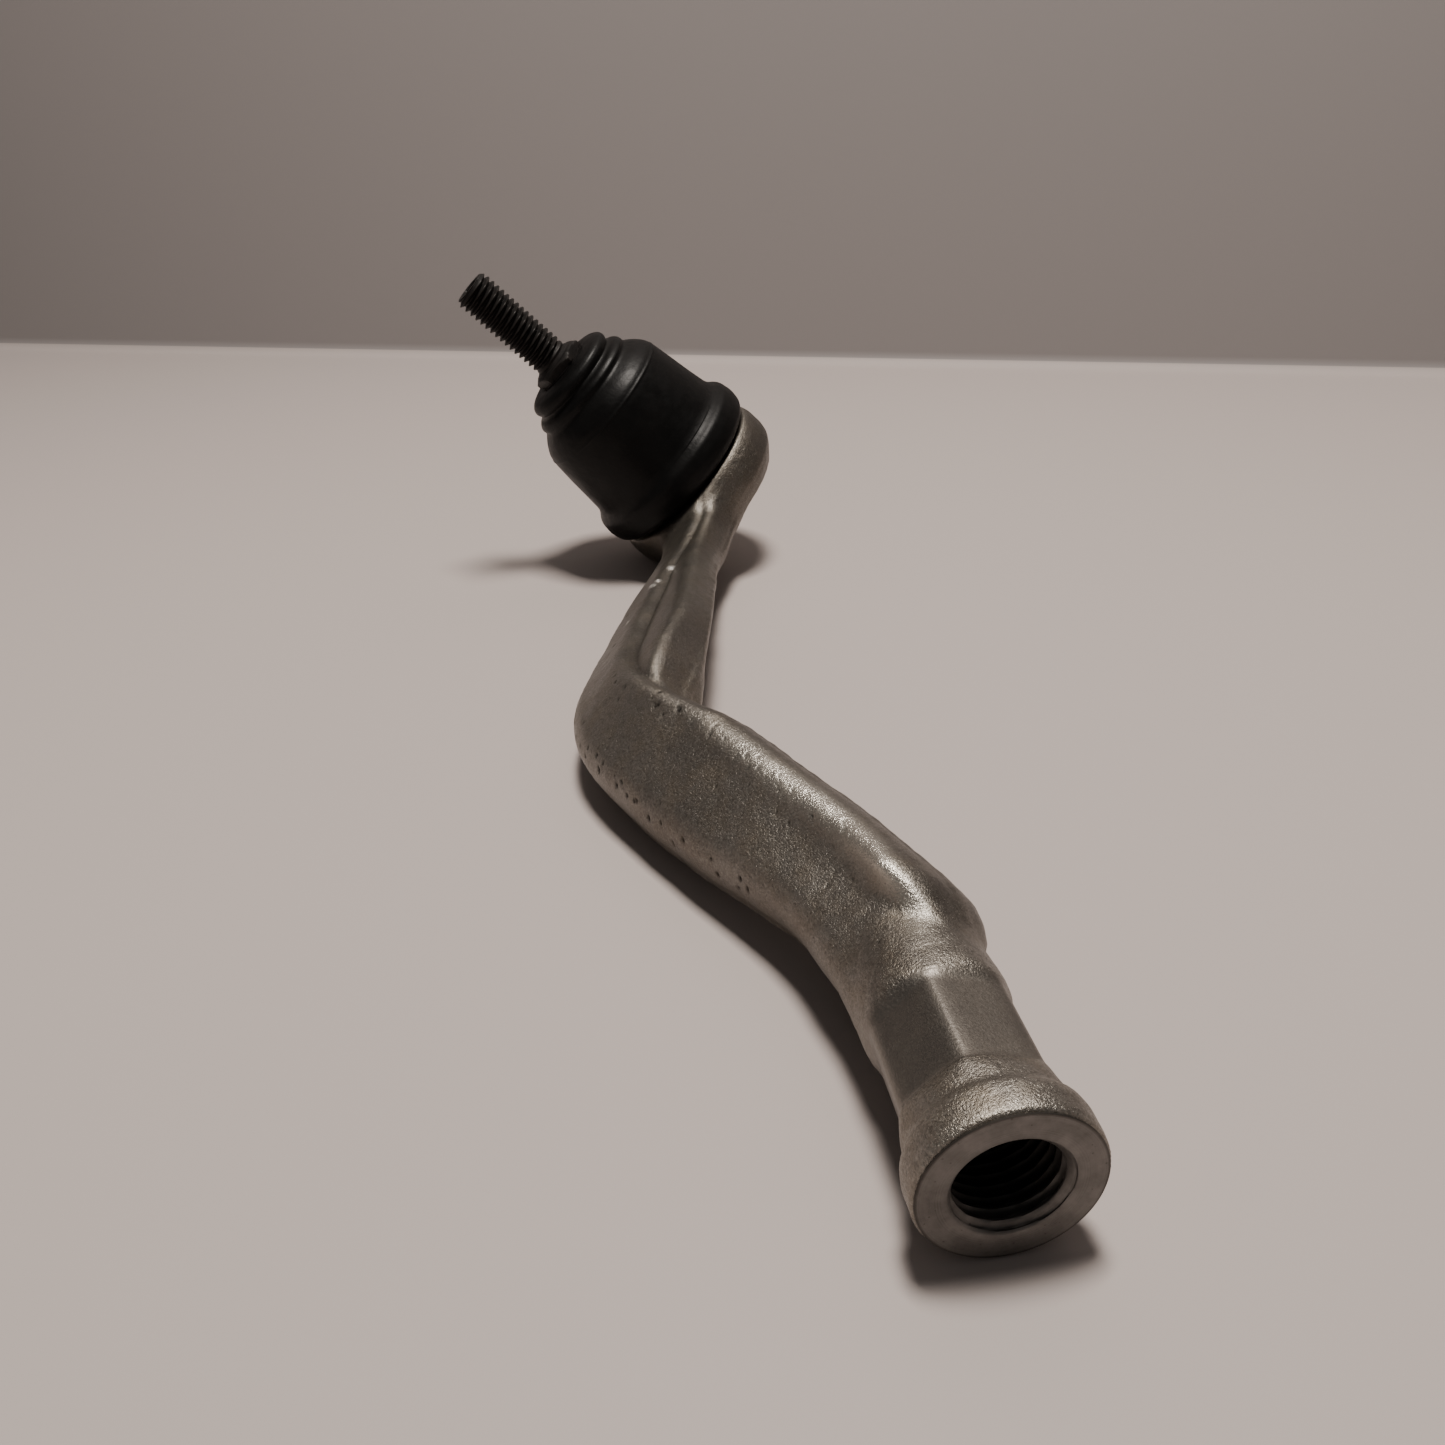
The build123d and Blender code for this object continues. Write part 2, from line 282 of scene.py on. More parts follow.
# --- Materials -----------------------------------------------------------------
class Shader:
    """A Principled material with short calls for its node tree."""

    def __init__(self, name, **sockets):
        self.material = bpy.data.materials.new(name)
        self.material.use_nodes = True
        self.tree = self.material.node_tree
        self.surface = self.tree.nodes["Principled BSDF"]
        for socket, value in sockets.items():
            self.surface.inputs[socket.replace("_", " ")].default_value = value
        self.place = self.node("ShaderNodeAttribute")
        self.place.attribute_name = "design_mm"
        self.point = self.place.outputs["Vector"]

    def node(self, kind, **inputs):
        made = self.tree.nodes.new(kind)
        for socket, value in inputs.items():
            self.feed(made.inputs[socket], value)
        return made

    def feed(self, socket, value):
        if isinstance(value, bpy.types.NodeSocket):
            self.tree.links.new(value, socket)
        else:
            socket.default_value = value

    def mask(self, name):
        """One of the marks kept on the piece's points."""
        made = self.node("ShaderNodeAttribute")
        made.attribute_name = name
        return made.outputs["Fac"]

    def noise(self, scale, detail, roughness, point=None):
        made = self.node("ShaderNodeTexNoise", Scale=scale, Detail=detail, Roughness=roughness)
        self.feed(made.inputs["Vector"], point or self.point)
        return made.outputs["Fac"]

    def cells(self, scale, output="Distance"):
        made = self.node("ShaderNodeTexVoronoi", Scale=scale)
        self.feed(made.inputs["Vector"], self.point)
        return made.outputs[output]

    def ramp(self, factor, *stops):
        """A colour ramp from (position, colour) stops."""
        made = self.node("ShaderNodeValToRGB")
        self.feed(made.inputs["Fac"], factor)
        elements = made.color_ramp.elements
        while len(elements) < len(stops):
            elements.new(0.5)
        for element, (position, colour) in zip(elements, stops):
            element.position = position
            element.color = (*colour, 1)
        return made.outputs["Color"]

    def spread(self, value, low, high, to_low=0.0, to_high=1.0):
        """Maps a value from one range to another, clamped."""
        made = self.node("ShaderNodeMapRange")
        for index, number in enumerate((value, low, high, to_low, to_high)):
            self.feed(made.inputs[index], number)
        return made.outputs["Result"]

    def math(self, operation, first, second=0.0):
        """One arithmetic step on two sockets or numbers."""
        made = self.node("ShaderNodeMath")
        made.operation = operation
        self.feed(made.inputs[0], first)
        self.feed(made.inputs[1], second)
        return made.outputs["Value"]

    def mix(self, factor, first, second):
        """The first colour shading into the second as the factor goes from 0 to 1."""
        made = self.node("ShaderNodeMix")
        made.data_type = "RGBA"
        self.feed(made.inputs["Factor"], factor)
        for name, value in (("A", first), ("B", second)):
            socket = [s for s in made.inputs if s.name == name and s.type == "RGBA"][0]
            if isinstance(value, tuple):
                value = (*value, 1)
            self.feed(socket, value)
        return [s for s in made.outputs if s.type == "RGBA"][0]

    def from_thread_axis(self):
        """Distance from the female thread's axis, in mm."""
        split = self.node("ShaderNodeSeparateXYZ", Vector=self.point)
        return self.length(split.outputs["Y"], self.math("SUBTRACT", split.outputs["Z"], THREAD_Z))

    def from_stud_axis(self):
        """Distance from the stud's axis, in mm."""
        split = self.node("ShaderNodeSeparateXYZ", Vector=self.point)
        return self.length(split.outputs["X"], split.outputs["Y"])

    def length(self, first, second):
        squares = self.math("ADD", self.math("POWER", first, 2.0), self.math("POWER", second, 2.0))
        return self.math("SQRT", squares)

    def turned_rings(self, radius, scale):
        """Noise that changes only with the radius, as turning marks do."""
        line = self.node("ShaderNodeCombineXYZ", X=radius).outputs["Vector"]
        return self.noise(scale, 2.0, 0.6, line)

    def bump(self, *layers):
        """Chains bump layers of (height socket, strength, depth in mm)."""
        normal = None
        for height, strength, depth in layers:
            made = self.node("ShaderNodeBump", Strength=strength, Distance=depth * MM)
            self.feed(made.inputs["Height"], height)
            if normal is not None:
                self.feed(made.inputs["Normal"], normal)
            normal = made.outputs["Normal"]
        self.feed(self.surface.inputs["Normal"], normal)

    def finish(self, colour, roughness):
        self.feed(self.surface.inputs["Base Color"], colour)
        self.feed(self.surface.inputs["Roughness"], roughness)
        return self.material


def forging_material():
    """Shot-blasted forging under a thin metallic coat, stained and pitted, with a painted highlight along its rib
    and edges and painted shade in its creases, on its sides and over its upper arm and cup.
    """
    s = Shader("forged_coat", Metallic=0.94)
    grain = s.noise(2.3, 3.0, 0.66)
    fine = s.noise(5.2, 2.0, 0.6)
    blotch = s.noise(0.05, 4.0, 0.55)
    stain = s.noise(0.16, 5.0, 0.62)
    flakes = s.cells(3.4, "Color")
    base = s.ramp(blotch, (0.3, (0.16, 0.146, 0.129)), (0.7, (0.25, 0.232, 0.207)))
    base = s.mix(s.spread(stain, 0.42, 0.68, 0.0, 0.6), base, (0.19, 0.158, 0.118))
    grey_flake = s.node("ShaderNodeRGBToBW", Color=flakes).outputs["Val"]
    base = s.mix(s.spread(grey_flake, 0.55, 0.9, 0.0, 0.35), base, (0.42, 0.4, 0.36))
    base = s.mix(s.spread(grain, 0.36, 0.5, 0.45, 0.0), base, (0.06, 0.054, 0.047))
    along = s.node("ShaderNodeSeparateXYZ", Vector=s.point).outputs["X"]
    # Painted shade: the upper arm darker from x = 122 mm down, and darker still at the cup under the boot.
    base = s.mix(s.spread(along, 122.0, 104.0, 0.0, 0.36), base, (0.07, 0.064, 0.056))
    base = s.mix(s.spread(along, 32.0, 12.0, 0.0, 0.25), base, (0.09, 0.077, 0.06))
    # Painted highlight: the ridge mark lightens the colour along the lower arm's rib and its sharp edges.
    base = s.mix(s.math("MULTIPLY", s.mask("ridge"), 0.9), base, (0.8, 0.76, 0.68))
    # Painted shade: the hollow mark darkens creases and the lower arm's sides that face away from the overhead
    # lamp.
    base = s.mix(s.math("MULTIPLY", s.mask("hollow"), 0.8), base, (0.06, 0.054, 0.047))
    where = s.spread(s.noise(0.12, 3.0, 0.6), 0.5, 0.62)
    speck = s.math("MULTIPLY", s.spread(s.cells(0.8), 0.13, 0.07), where)
    base = s.mix(s.math("MULTIPLY", speck, 0.75), base, (0.035, 0.03, 0.026))
    base = s.mix(s.mask("pit"), base, (0.012, 0.01, 0.009))
    base = s.mix(s.mask("chip"), base, (0.82, 0.8, 0.76))
    # The wrench flats' own smoother, darker tone, which also lays painted shade over the ledge at their inner end.
    smooth = s.mask("flat")
    base = s.mix(s.math("MULTIPLY", smooth, 0.7), base, (0.2, 0.184, 0.165))
    rough = s.spread(stain, 0.3, 0.7, 0.34, 0.43)
    rough = s.math("ADD", rough, s.spread(fine, 0.35, 0.65, -0.07, 0.09))
    rough = s.math("ADD", rough, s.math("MULTIPLY", s.mask("pit"), 0.35))
    rough = s.math("SUBTRACT", rough, s.math("MULTIPLY", s.mask("ridge"), 0.18))
    calm = s.spread(smooth, 0.0, 1.0, 1.0, 0.3)
    s.bump(
        (s.math("MULTIPLY", grain, calm), 0.65, 0.22),
        (s.math("MULTIPLY", fine, calm), 0.8, 0.1),
    )
    return s.finish(base, rough)


def machined_material():
    """The faced mouth and its thread: fine turning marks, dulled and lightly stained, with painted shade down the
    bore.
    """
    s = Shader("machined_face", Metallic=0.8)
    radius = s.from_thread_axis()
    rings = s.turned_rings(radius, 7.0)
    stain = s.noise(0.35, 5.0, 0.65)
    base = s.ramp(stain, (0.35, (0.2, 0.188, 0.176)), (0.7, (0.13, 0.121, 0.112)))
    base = s.mix(s.spread(rings, 0.35, 0.65, 0.0, 0.25), base, (0.28, 0.268, 0.252))
    specks = s.spread(s.cells(0.8), 0.13, 0.08)
    base = s.mix(s.math("MULTIPLY", specks, 0.5), base, (0.06, 0.052, 0.045))
    base = s.mix(s.spread(radius, 10.2, 10.5, 0.0, 0.8), base, (0.045, 0.038, 0.032))
    # Painted shade: darker the deeper into the tapped bore.
    base = s.mix(s.mask("deep"), base, (0.012, 0.011, 0.01))
    s.bump((rings, 0.35, 0.03), (s.noise(2.2, 3.0, 0.6), 0.25, 0.05))
    return s.finish(base, s.spread(stain, 0.3, 0.7, 0.42, 0.55))


def phosphate_material():
    """Black phosphate on the stud, oiled, rubbed brown along its crests."""
    s = Shader("black_phosphate", Metallic=0.35, Specular_IOR_Level=0.3)
    stain = s.noise(0.3, 5.0, 0.65)
    crystal = s.noise(9.0, 3.0, 0.6)
    base = s.ramp(stain, (0.35, (0.004, 0.0037, 0.0037)), (0.75, (0.011, 0.0085, 0.0075)))
    base = s.mix(s.math("MULTIPLY", s.mask("crest"), 0.3), base, (0.024, 0.019, 0.016))
    base = s.mix(s.spread(crystal, 0.5, 0.7, 0.0, 0.3), base, (0.035, 0.029, 0.025))
    s.bump((crystal, 0.45, 0.04), (s.noise(1.6, 3.0, 0.55), 0.3, 0.07))
    return s.finish(base, s.spread(stain, 0.3, 0.7, 0.44, 0.58))


def rubber_material():
    """Moulded black rubber with a soft sheen, faint flow marks and a little dust."""
    s = Shader("boot_rubber", Metallic=0.0, Specular_IOR_Level=0.16)
    stain = s.noise(0.12, 5.0, 0.6)
    skin = s.noise(2.4, 4.0, 0.6)
    base = s.ramp(stain, (0.3, (0.002, 0.002, 0.002)), (0.75, (0.0036, 0.0034, 0.0033)))
    dust = s.math("MULTIPLY", s.spread(s.noise(0.5, 6.0, 0.7), 0.58, 0.8), 0.12)
    base = s.mix(dust, base, (0.024, 0.0225, 0.021))
    rough = s.spread(s.noise(0.22, 4.0, 0.6), 0.3, 0.7, 0.36, 0.5)
    s.bump((skin, 0.35, 0.05), (s.noise(0.45, 3.0, 0.5), 0.5, 0.2))
    return s.finish(base, rough)


def plated_material(name, colour):
    """Pressed or rolled steel with circular draw marks and a dull plating."""
    s = Shader(name, Metallic=0.9)
    rings = s.turned_rings(s.from_stud_axis(), 5.0)
    stain = s.noise(0.3, 5.0, 0.62)
    dark = tuple(channel * 0.55 for channel in colour)
    base = s.ramp(stain, (0.35, colour), (0.75, dark))
    base = s.mix(s.spread(rings, 0.4, 0.7, 0.0, 0.35), base, dark)
    specks = s.spread(s.cells(0.7), 0.14, 0.09)
    base = s.mix(s.math("MULTIPLY", specks, 0.4), base, (0.05, 0.045, 0.04))
    s.bump((rings, 0.3, 0.03), (s.noise(2.6, 3.0, 0.6), 0.3, 0.06))
    return s.finish(base, s.spread(stain, 0.3, 0.7, 0.33, 0.5))


def acetal_material():
    """Natural acetal of the bearing shell, faintly mottled, under a film of grease."""
    s = Shader("natural_acetal", Metallic=0.0, Coat_Weight=0.3, Coat_Roughness=0.25)
    flow = s.noise(0.25, 4.0, 0.5)
    base = s.ramp(flow, (0.3, (0.6, 0.56, 0.46)), (0.7, (0.72, 0.69, 0.6)))
    s.bump((s.noise(3.0, 3.0, 0.5), 0.2, 0.04))
    return s.finish(base, s.spread(flow, 0.3, 0.7, 0.35, 0.5))


# --- Forged body ---------------------------------------------------------------
def natural_spline(knots, values, at):
    """A natural cubic spline through the knots, read at many places."""
    knots, values = np.asarray(knots, float), np.asarray(values, float)
    gap = np.diff(knots)
    size = len(knots)
    system, right = np.eye(size), np.zeros(size)
    for i in range(1, size - 1):
        system[i, i - 1 : i + 2] = gap[i - 1], 2 * (gap[i - 1] + gap[i]), gap[i]
        slopes = np.diff(values[i - 1 : i + 2]) / gap[i - 1 : i + 1]
        right[i] = 6 * (slopes[1] - slopes[0])
    bend = np.linalg.solve(system, right)
    at = np.clip(at, knots[0], knots[-1])
    i = np.clip(np.searchsorted(knots, at) - 1, 0, size - 2)
    low, high, width = at - knots[i], knots[i + 1] - at, gap[i]
    curve = (bend[i] * high**3 + bend[i + 1] * low**3) / (6 * width)
    curve += (values[i] / width - bend[i] * width / 6) * high
    curve += (values[i + 1] / width - bend[i + 1] * width / 6) * low
    return curve


def arm_section(column, x):
    """A column of the arm's sections at any x, along a smooth curve."""
    table = np.array(ARM)
    return natural_spline(table[:, 0], table[:, column], x)


def smooth_union(a, b, size):
    """a and b together, with the corner between them filled to about this size."""
    blend = np.maximum(size - np.abs(a - b), 0) / size
    return np.minimum(a, b) - blend**2 * size / 4


def smooth_cut(a, b, size):
    """a without b, with the new edge rounded."""
    return -smooth_union(-a, b, size)


def outline_distance(r, z, corners):
    """Signed distance from (r, z) to a closed outline, negative inside."""
    corners = np.asarray(corners, float)
    nearest = np.full(r.shape, np.inf, np.float32)
    inside = np.zeros(r.shape, bool)
    for (r0, z0), (r1, z1) in zip(corners, np.roll(corners, -1, axis=0)):
        along_r, along_z = r1 - r0, z1 - z0
        t = ((r - r0) * along_r + (z - z0) * along_z) / (along_r**2 + along_z**2)
        t = np.clip(t, 0, 1)
        gap = (r - r0 - t * along_r) ** 2 + (z - z0 - t * along_z) ** 2
        nearest = np.minimum(nearest, gap)
        if z0 != z1:
            crosses = (z0 <= z) != (z1 <= z)
            inside ^= crosses & (r < r0 + (z - z0) * along_r / along_z)
    return np.where(inside, -1, 1) * np.sqrt(nearest)


def cup_outline():
    """The cup's half section; the r < 0 corners close it past its own axis."""
    return [
        (-5.0, CUP_BOTTOM_Z),
        (17.4, CUP_BOTTOM_Z),
        (19.4, CUP_BOTTOM_Z + 0.6),
        (21.6, -11.6),
        (23.0, -9.6),
        (23.4, -7.6),
        (23.4, -4.2),
        (23.1, -2.4),
        (22.5, CUP_SHOULDER_Z),
        (CUP_NECK_R, CUP_SHOULDER_Z),
        (CUP_NECK_R, CUP_TOP_Z),
        (-5.0, CUP_TOP_Z),
    ]


def socket_outline():
    """The threaded socket's half section along the thread axis, as (radius, x)."""
    return [
        (-5.0, 186.5),
        (5.6, 186.5),
        (7.4, 189.5),
        (8.35, 193.0),
        (8.7, 198.0),
        (9.3, 204.0),
        (9.62, 209.0),
        (9.62, 222.0),
        (9.8, 226.0),
        (9.9, 227.2),
        (10.8, 228.4),
        (11.0, 229.6),
        (11.0, 231.8),
        (10.85, MOUTH_X - 0.25),
        (-5.0, MOUTH_X - 0.25),
    ]


def arm_distance(x, y, z):
    """Signed distance to the forged strap arm with its parting flash and its shelf."""
    line = x[:, 0, 0]
    mid_y, mid_z, width, thick = (arm_section(k, line)[:, None, None] for k in (1, 2, 3, 4))
    lean_y = np.gradient(mid_y[:, 0, 0], VOXEL)[:, None, None]
    lean_z = np.gradient(mid_z[:, 0, 0], VOXEL)[:, None, None]
    across = (y - mid_y).astype(np.float32)
    up = (z - THREAD_Z - mid_z).astype(np.float32)
    on_right = across > 0
    top, bottom = (eased(RIGHT_SIDE, k, line)[:, None, None] for k in (1, 2))
    low_share = np.clip(0.5 - up / thick, 0, 1)
    right_half = width / 2 + top + (bottom - top) * low_share
    left_half = width / 2 - np.abs(up) * math.tan(math.radians(5))
    right_corner = eased(RIGHT_CORNER, 1, line)[:, None, None]
    corner = np.minimum(np.where(on_right, right_corner, ARM_CORNER), 0.44 * thick)
    side = np.abs(across) - np.where(on_right, right_half, left_half)
    side = side / np.sqrt(1 + lean_y**2)
    top_face = thick / 2 + crowned(line[:, None, None], across)
    face = np.maximum(up - top_face, -thick / 2 - up) / np.sqrt(1 + lean_z**2)
    outer = np.hypot(np.maximum(side + corner, 0), np.maximum(face + corner, 0))
    solid = outer + np.minimum(np.maximum(side, face) + corner, 0) - corner
    solid = flashed(solid, x, across, up / thick, side)
    solid = smooth_cut(solid, shelf_distance(line, across, up, thick), 2.6)
    return solid + sinks_into_socket(x, across)


def bell(distance, reach):
    """1 at no distance, falling smoothly to almost nothing at twice the reach."""
    return np.exp(-((distance / reach) ** 2))


def crowned(x, across):
    """Height of the top face's rib and, left of it, the hollow that runs into the socket."""
    from_rib = across - read_table(RIB_CENTRE, x)
    rib = read_table(RIB_HEIGHT, x) * bell(from_rib, read_table(RIB_REACH, x))
    from_hollow = across - HOLLOW_CENTRE
    hollow = bell(from_hollow, np.where(from_hollow < 0, 6.0, 2.7))
    return rib - hollow * read_table(HOLLOW_DEPTH, x)


def sinks_into_socket(x, across):
    """How far the arm shrinks as it runs into the socket, slowest on its left side."""
    run = (x - read_table(SINK_START, across)) / read_table(SINK_LENGTH, across)
    return 6.0 * np.clip(run, 0, None) ** 2


def eased(table, column, line):
    """A table's column read along the arm, with its corners rounded over a few millimetres."""
    table = np.array(table)
    window = np.hanning(17)[1:-1]
    read = np.interp(line, table[:, 0], table[:, column])
    padded = np.pad(read, len(window) // 2, mode="edge")
    return np.convolve(padded, window / window.sum(), mode="valid")


def flashed(solid, x, across, level, side):
    """Raises the trimmed flash along both sides of the arm, low down on the upper arm's right."""
    ragged = 0.12 * np.sin(x * 0.83) + 0.1 * np.sin(x * 1.91 + 0.7)
    drop = np.where(across > 0, np.interp(x, (60, 110, 135), (0.34, 0.34, 0.0)), 0.0)
    crest = np.exp(-(((level + drop) / 0.06) ** 4))
    near_side = np.clip(1 - np.abs(side) / 3.0, 0, 1)
    return solid - (0.32 + ragged * 0.35) * crest * near_side


def shelf_distance(line, across, up, thick):
    """Room above the shelf along the upper arm's right side, behind a short steep wall."""
    wall_at, depth = (eased(SHELF, k, line)[:, None, None] for k in (1, 2))
    drop = up - thick / 2
    floor = -depth - 0.02 * (across - wall_at - 5.0) ** 2 - drop
    wall = (wall_at - across) * 0.9 - drop * 0.25
    ends = np.maximum(SHELF[0][0] - line, line - SHELF[-1][0])[:, None, None]
    return np.maximum(np.maximum(floor, wall), ends)


def hexagon_distance(y, z):
    """Distance outside a hexagon about the thread axis, with a flat facing +Z."""
    reach = np.full(y.shape, -1e3, np.float32)
    for flat in range(6):
        angle = math.radians(90 + 60 * flat)
        reach = np.maximum(reach, y * math.cos(angle) + (z - THREAD_Z) * math.sin(angle))
    return reach - FLATS_ACROSS / 2


def forging_field():
    """The forged body as distances on a grid, negative inside, with its lowest corner."""
    low, high = np.array((-26.0, -37.0, -21.0)), np.array((235.5, 27.0, 25.0))
    counts = np.ceil((high - low) / VOXEL).astype(int)
    axes = [low[k] + VOXEL * np.arange(counts[k], dtype=np.float32) for k in range(3)]
    x, y, z = axes[0][:, None, None], axes[1][None, :, None], axes[2][None, None, :]
    from_stud = np.hypot(x, y) + 0 * z
    from_thread = np.hypot(y, z - THREAD_Z) + 0 * x
    level, along = z + 0 * from_stud, x + 0 * from_thread
    arm = np.maximum(arm_distance(x, y, z), np.maximum(4 - x, x - 206) + 0 * y + 0 * z)
    near_cup, near_socket = axes[0] < 45, axes[0] > 170
    cup, socket = np.full(arm.shape, 1e3, np.float32), np.full(arm.shape, 1e3, np.float32)
    cup[near_cup] = outline_distance(from_stud[near_cup], level[near_cup], cup_outline())
    socket[near_socket] = outline_distance(
        from_thread[near_socket], along[near_socket], socket_outline()
    )
    body = smooth_union(arm, cup, FILLET)
    body = smooth_union(body, socket, FILLET)
    body = smooth_cut(body, boot_room(from_stud, level), 0.7)
    body = smooth_cut(body, flats_cut(hexagon_distance(y, z) + 0 * x, along), 0.9)
    body = np.maximum(body, -bore_distance(from_thread, along))
    cavity = cavity_distance(from_stud, level)
    return np.maximum(body, -cavity).astype(np.float32), low


def boot_room(from_stud, level):
    """The ring of room round the cup's neck that the boot's base fills."""
    above = np.maximum(CUP_NECK_R - from_stud, CUP_SHOULDER_Z - level)
    return np.maximum(above, from_stud - 30.0)


def flats_cut(over, along):
    """What the wrench flats take away, running out in a shallow slope at both ends."""
    middle, half = sum(FLATS_X) / 2, (FLATS_X[1] - FLATS_X[0]) / 2
    ends = (np.abs(along - middle) - half - 2 * np.maximum(over, 0)) * 0.447
    return np.maximum(-over, ends)


def bore_distance(from_thread, along):
    """Room for the threaded liner in the socket."""
    return np.maximum(from_thread - ROD_MAJOR_R - 0.75, MOUTH_X - 39.0 - along)


def cavity_distance(from_stud, level):
    """The cup's bore, the throat above it and the end cap's seat inside the rolled lip."""
    bore = np.maximum(from_stud - CAVITY_R, np.abs(level + 4.0) - 9.2)
    flare = np.clip(level - 5.5, 0, 2) * 0.5
    throat = np.maximum(from_stud - THROAT_R - flare, 4.0 - level)
    seat = np.maximum(from_stud - CAP_R - 0.1, np.abs(level + 12.7) - 1.05)
    lip = np.maximum(from_stud - LIP_R, level + 12.0)
    return np.minimum(np.minimum(bore, throat), np.minimum(seat, lip))


def neighbour_mean(values, edges, count):
    """The mean of each vertex's neighbours."""
    total = np.zeros_like(values)
    np.add.at(total, edges[:, 0], values[edges[:, 1]])
    np.add.at(total, edges[:, 1], values[edges[:, 0]])
    share = count[:, None] if values.ndim == 2 else count
    return total / share


def forged_body(material):
    """The whole forging as one skin, roughened, pitted and marked for its material."""
    field, low = forging_field()
    grid = openvdb.FloatGrid(1e3)
    grid.copyFromArray(field)
    points, quads = grid.convertToQuads(isovalue=0.0)
    points = points * VOXEL + low
    mesh = bpy.data.meshes.new("forging_draft")
    mesh.from_pydata(points.tolist(), [], quads.tolist())
    edges = np.empty(len(mesh.edges) * 2, int)
    mesh.edges.foreach_get("vertices", edges)
    edges = edges.reshape(-1, 2)
    normals = np.empty(len(points) * 3)
    mesh.vertex_normals.foreach_get("vector", normals)
    normals = normals.reshape(-1, 3)
    bpy.data.meshes.remove(mesh)
    if outward_sign(points, normals) < 0:
        normals, quads = -normals, quads[:, ::-1]
    count = np.bincount(edges.ravel(), minlength=len(points)).clip(1)
    marks = surface_marks(points, normals, edges, count)
    points = points + normals * roughness_depth(points, marks)[:, None]
    piece = piece_from("forged_skin", points, quads.tolist(), material, 0, merge=False)
    for name, values in marks.items():
        add_mark(piece, name, values)
    return piece


def outward_sign(points, normals):
    """Above 0 when the collar's normals point away from the thread axis."""
    collar = (points[:, 0] > 229) & (points[:, 0] < 232)
    away = points[collar] - np.array((0, 0, THREAD_Z))
    away[:, 0] = 0
    outer = np.linalg.norm(away, axis=1) > 9
    return np.sum(away[outer] * normals[collar][outer])


def sharpness(points, normals, edges, count):
    """How far each point stands out from a smoothed skin, in mm: above 0 on an edge."""
    shape = points.copy()
    for _ in range(4):
        shape = neighbour_mean(shape, edges, count)
    bend = np.sum((points - shape) * normals, axis=1)
    for _ in range(4):
        bend = neighbour_mean(bend, edges, count)
    return bend


def painted_rib_highlight(points, normals):
    """Where a painted highlight lies along the rib on top of the lower arm."""
    x, y, _ = points.T
    from_rib = y - arm_section(1, x) - read_table(RIB_CENTRE, x)
    reach = np.where(from_rib < 0, 2.2, np.interp(x, (165, 190), (2.6, 4.0)))
    faces_up = np.clip(normals[:, 2] * 2 - 0.8, 0, 1)
    return bell(from_rib, reach) * faces_up * np.interp(x, (138, 166, 192, 206), (0, 0.85, 1, 0))


def surface_marks(points, normals, edges, count):
    """Where the forging gets painted highlight, painted shade, a wrench flat, pits or chips, from 0 to 1."""
    x, y, z = points.T
    bend = sharpness(points, normals, edges, count)
    # Sharp edges carry part of the painted highlight, mostly on the lower arm.
    edge = np.clip((bend - 0.022) / 0.11, 0, 1)
    edge = edge * np.interp(x, (136, 166, 203, 209), (0.08, 0.7, 0.7, 0.12))
    # Painted shade on the lower arm's sides that turn away from the lamp overhead.
    faces_aside = np.clip((0.75 - normals[:, 2]) / 0.3, 0, 1)
    painted_side_shade = faces_aside * np.interp(x, (118, 140, 196, 205), (0, 1, 1, 0))
    # Reaches 1.8 mm past the flats' inner end, where the darker tone is painted shade over the ledge.
    on_flats = (x > FLATS_X[0] - 1.8) & (x < FLATS_X[1] + 0.4)
    return {
        "ridge": np.maximum(painted_rib_highlight(points, normals), edge),
        "hollow": np.maximum(np.clip((-bend - 0.03) / 0.12, 0, 1), 0.5 * painted_side_shade),
        "flat": on_flats * np.clip((1.3 - hexagon_distance(y, z)) / 1.2, 0, 1),
        "pit": pits(points, normals),
        "chip": chips(points, normals),
    }


PIT_GROUPS = [
    # x from, x to, share of the width from, to, how many, largest radius
    (132, 144, 0.25, 0.56, 7, 0.46),
    (118, 134, 0.2, 0.5, 6, 0.26),
    (142, 186, 0.5, 0.74, 24, 0.22),
    (112, 178, -0.9, -0.7, 30, 0.24),
    (110, 182, -0.6, 0.5, 16, 0.16),
    (30, 100, -0.9, 0.9, 10, 0.18),
    (184, 204, -0.7, 0.5, 5, 0.16),
]

CHIPS = [
    # x, distance from the arm's middle, radius
    (55.0, 4.6, 0.9),
    (62.5, 3.0, 0.7),
    (64.8, 2.2, 0.9),
    (81.6, -1.1, 0.6),
]


def pits(points, normals):
    """Blowholes and scale pits, thickest along the lower arm's two long edges."""
    rng = np.random.default_rng(7)
    table = np.array(ARM)
    depth = np.zeros(len(points))
    for x0, x1, share0, share1, number, largest in PIT_GROUPS:
        for _ in range(number):
            x = rng.uniform(x0, x1)
            share = rng.uniform(share0, share1)
            size = largest * rng.uniform(0.45, 1.0)
            y = np.interp(x, table[:, 0], table[:, 1])
            y += share * np.interp(x, table[:, 0], table[:, 3]) / 2
            near = (np.abs(points[:, 0] - x) < 3) & (np.abs(points[:, 1] - y) < 3)
            near &= normals[:, 2] > 0.5
            gap = np.hypot(points[near, 0] - x, points[near, 1] - y)
            depth[near] = np.maximum(depth[near], np.clip(1.35 - gap / (size + 0.12), 0, 1))
    return depth


def chips(points, normals):
    """Bright burrs where the upper arm's edge has been knocked."""
    raised = np.zeros(len(points))
    for x, across, size in CHIPS:
        y = arm_section(1, np.array([x]))[0] + across
        gap = np.hypot((points[:, 0] - x) / 1.6, points[:, 1] - y) / size
        raised = np.maximum(raised, np.clip(1.3 - gap, 0, 1) * (normals[:, 2] > 0.3))
    return raised


